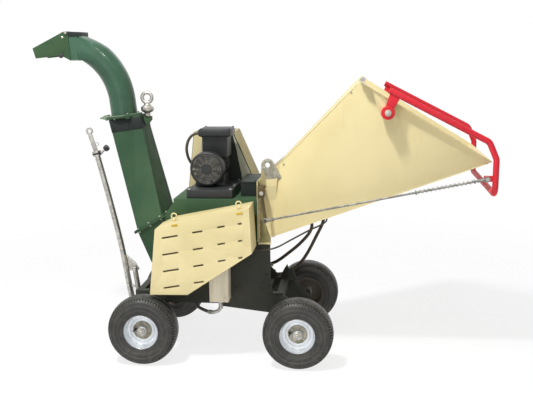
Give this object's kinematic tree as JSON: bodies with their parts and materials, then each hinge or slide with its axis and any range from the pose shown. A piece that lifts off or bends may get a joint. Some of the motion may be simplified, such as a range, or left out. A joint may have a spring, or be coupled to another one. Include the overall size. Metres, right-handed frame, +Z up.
{
  "type": "electric garden shredder",
  "caption": "Wheeled electric wood shredder with a drum rotor, swivelling discharge chute, wide infeed hopper, feed control bar and folding drawbar.",
  "frame": {"origin": "centre of the bounding box at the ground, under the machine", "axes": "+X along the machine towards the open end of the infeed hopper, +Y across towards the belt guard, +Z up"},
  "size_m": [2.7016, 0.99, 1.934],
  "materials": {
    "cream_paint": "satin cream enamel on sheet steel",
    "green_paint": "satin dark green enamel",
    "red_paint": "gloss signal red enamel",
    "frame_paint": "semi-matt black green paint",
    "motor_paint": "matt black paint",
    "zinc_plate": "zinc plated, slightly dull",
    "bright_steel": "machined steel",
    "tyre_rubber": "ribbed black rubber",
    "hose_rubber": "smooth black hydraulic hose",
    "cast_iron": "as cast, dark",
    "black_plastic": "fine textured black",
    "button_green": "smooth green",
    "button_red": "smooth red"
  },
  "bodies": {
    "frame": {"chassis_frame": "frame_paint", "rotor_housing": "green_paint", "deck_plate": "green_paint", "discharge_tower": "green_paint", "lifting_eyebolt": "zinc_plate", "motor_base": "motor_paint", "motor_housing": "motor_paint", "motor_fan_cowl": "motor_paint", "terminal_box": "motor_paint", "motor_conduit": "hose_rubber", "belt_guard_cover": "cream_paint", "belt_guard_plate": "green_paint", "drive_belt": "hose_rubber", "side_guard": "cream_paint", "feed_housing": "cream_paint", "infeed_hopper": "cream_paint", "control_valve": "motor_paint", "oil_tank": "zinc_plate", "tank_hose": "hose_rubber", "pilot_hose": "hose_rubber", "pressure_hose": "hose_rubber", "return_hose": "hose_rubber", "hydraulic_pump": "cast_iron", "roller_motor": "cast_iron", "bearing_near": "cast_iron", "bearing_far": "cast_iron", "anvil": "bright_steel", "starter_box": "black_plastic"},
    "steering": {"front_axle": "frame_paint"},
    "tow_bar": {"drawbar": "zinc_plate"},
    "tow_clamp": {"clamp_handle": "black_plastic"},
    "wheel_front_near": {"tyre_front_near": "tyre_rubber", "rim_front_near": "zinc_plate"},
    "wheel_front_far": {"tyre_front_far": "tyre_rubber", "rim_front_far": "zinc_plate"},
    "wheel_rear_near": {"tyre_rear_near": "tyre_rubber", "rim_rear_near": "zinc_plate"},
    "wheel_rear_far": {"tyre_rear_far": "tyre_rubber", "rim_rear_far": "zinc_plate"},
    "chute": {"chute_elbow": "green_paint"},
    "deflector": {"chute_deflector": "green_paint"},
    "rotor": {"rotor_drum": "cast_iron", "rotor_shaft": "bright_steel", "rotor_knife_1": "bright_steel", "rotor_knife_2": "bright_steel", "rotor_pulley": "cast_iron"},
    "motor_spindle": {"motor_rotor": "bright_steel", "motor_fan": "black_plastic", "motor_pulley": "cast_iron"},
    "feed_arm": {"roller_arm": "frame_paint"},
    "feed_roller_upper": {"upper_feed_roller": "cast_iron"},
    "feed_roller_lower": {"lower_feed_roller": "cast_iron"},
    "feed_bar": {"control_bar": "red_paint"},
    "feed_rod": {"control_rod": "zinc_plate", "rod_spring": "bright_steel"},
    "feed_lever": {"valve_lever": "zinc_plate"},
    "latch_left": {"guard_latch_left": "cream_paint"},
    "latch_right": {"guard_latch_right": "cream_paint"},
    "button_start": {"start_button": "button_green"},
    "button_stop": {"stop_button": "button_red"}
  },
  "joints": [
    {"name": "front_steer", "type": "hinge", "parent": "frame", "child": "steering", "pos_m": [-0.64634, 0, 0.26], "axis": [0, 0, 1], "range_deg": [-25, 25]},
    {"name": "drawbar_fold", "type": "hinge", "parent": "steering", "child": "tow_bar", "pos_m": [-0.82284, 0, 0.215], "axis": [0, -1, 0], "range_deg": [0, 75]},
    {"name": "tow_clamp_turn", "type": "hinge", "parent": "tow_bar", "child": "tow_clamp", "pos_m": [-0.98994, 0, 1.1941], "axis": [0.9772, 0, 0.2124], "range_deg": [-90, 90]},
    {"name": "wheel_front_near_spin", "type": "hinge", "parent": "steering", "child": "wheel_front_near", "pos_m": [-0.64634, -0.42, 0.205], "axis": [0, 1, 0], "continuous": true},
    {"name": "wheel_front_far_spin", "type": "hinge", "parent": "steering", "child": "wheel_front_far", "pos_m": [-0.64634, 0.42, 0.205], "axis": [0, 1, 0], "continuous": true},
    {"name": "wheel_rear_near_spin", "type": "hinge", "parent": "frame", "child": "wheel_rear_near", "pos_m": [0.26466, -0.42, 0.205], "axis": [0, 1, 0], "continuous": true},
    {"name": "wheel_rear_far_spin", "type": "hinge", "parent": "frame", "child": "wheel_rear_far", "pos_m": [0.26466, 0.42, 0.205], "axis": [0, 1, 0], "continuous": true},
    {"name": "chute_swivel", "type": "hinge", "parent": "frame", "child": "chute", "pos_m": [-0.82684, 0, 1.4235], "axis": [-0.1045, 0, 0.9945], "range_deg": [-150, 150]},
    {"name": "deflector_tilt", "type": "hinge", "parent": "chute", "child": "deflector", "pos_m": [-1.13884, 0, 1.925], "axis": [0, 1, 0], "range_deg": [-35, 20]},
    {"name": "rotor_spin", "type": "hinge", "parent": "frame", "child": "rotor", "pos_m": [-0.31084, 0, 0.62], "axis": [0, 1, 0], "continuous": true},
    {"name": "motor_spin", "type": "hinge", "parent": "frame", "child": "motor_spindle", "pos_m": [-0.29584, 0, 1.115], "axis": [0, 1, 0], "continuous": true},
    {"name": "feed_arm_lift", "type": "hinge", "parent": "frame", "child": "feed_arm", "pos_m": [-0.19084, 0, 0.905], "axis": [0, -1, 0], "range_deg": [0, 15]},
    {"name": "upper_roller_spin", "type": "hinge", "parent": "feed_arm", "child": "feed_roller_upper", "pos_m": [-0.06584, 0, 0.8], "axis": [0, 1, 0], "continuous": true},
    {"name": "lower_roller_spin", "type": "hinge", "parent": "frame", "child": "feed_roller_lower", "pos_m": [-0.06084, 0, 0.655], "axis": [0, 1, 0], "continuous": true},
    {"name": "control_bar_swing", "type": "hinge", "parent": "frame", "child": "feed_bar", "pos_m": [0.75816, 0, 1.467], "axis": [0, 1, 0], "range_deg": [-3, 3]},
    {"name": "control_rod_pivot", "type": "hinge", "parent": "feed_bar", "child": "feed_rod", "pos_m": [1.28716, -0.463, 1.112], "axis": [0, 1, 0], "range_deg": [-2, 2]},
    {"name": "valve_lever_swing", "type": "hinge", "parent": "frame", "child": "feed_lever", "pos_m": [0.04716, -0.28, 0.995], "axis": [0, 1, 0], "range_deg": [-9, 9]},
    {"name": "guard_latch_left_turn", "type": "hinge", "parent": "frame", "child": "latch_left", "pos_m": [-0.43884, -0.42, 0.8565], "axis": [0, 0, 1], "range_deg": [0, 90]},
    {"name": "guard_latch_right_turn", "type": "hinge", "parent": "frame", "child": "latch_right", "pos_m": [-0.06584, -0.42, 0.929], "axis": [0, 0, 1], "range_deg": [0, 90]},
    {"name": "start_button_press", "type": "slide", "parent": "frame", "child": "button_start", "axis": [0, -1, 0], "range_m": [0, 0.003], "stiffness_N_per_m": 600, "springref_m": -0.001},
    {"name": "stop_button_press", "type": "slide", "parent": "frame", "child": "button_stop", "axis": [0, -1, 0], "range_m": [0, 0.003], "stiffness_N_per_m": 600, "springref_m": -0.001}
  ],
  "couplings": [
    {"joint": "motor_spin", "follows": "rotor_spin", "ratio": 1.8863},
    {"joint": "lower_roller_spin", "follows": "upper_roller_spin", "ratio": -1.4902},
    {"joint": "control_rod_pivot", "follows": "control_bar_swing", "ratio": -0.616},
    {"joint": "valve_lever_swing", "follows": "control_bar_swing", "ratio": 2.9}
  ]
}
